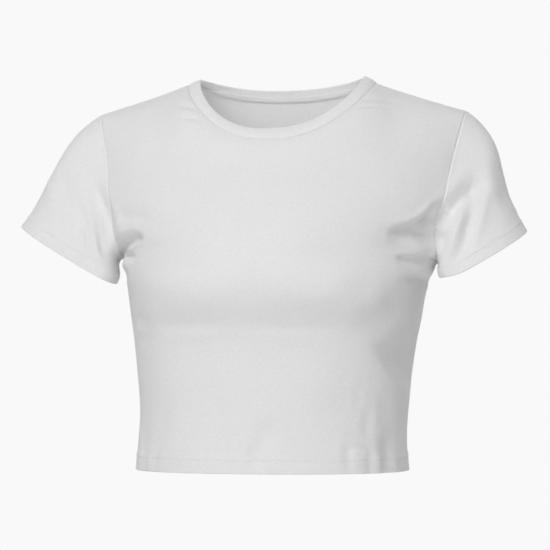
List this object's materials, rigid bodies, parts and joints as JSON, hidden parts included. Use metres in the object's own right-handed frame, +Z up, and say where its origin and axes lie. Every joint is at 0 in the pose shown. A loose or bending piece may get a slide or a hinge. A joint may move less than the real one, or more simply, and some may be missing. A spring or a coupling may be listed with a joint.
{
  "type": "crop top",
  "caption": "Cropped crew-neck T-shirt with short sleeves, filled out as worn, open at neck, hem and cuffs for a wearer to put on.",
  "frame": {"origin": "midway between the two high shoulder points, where the wearer's neck and shoulders hold the garment", "axes": "+Z up; the front faces -Y; +X towards the wearer's left sleeve, on the right of someone who looks at the front"},
  "size_m": [0.5261, 0.2268, 0.4099],
  "materials": {
    "jersey": "matt white cotton-elastane jersey",
    "neckband": "matt white cotton-elastane jersey, folded double"
  },
  "bodies": {
    "root": {"front": "jersey", "back": "jersey", "sleeve_left": "jersey", "sleeve_right": "jersey", "neckband": "neckband"}
  },
  "joints": []
}
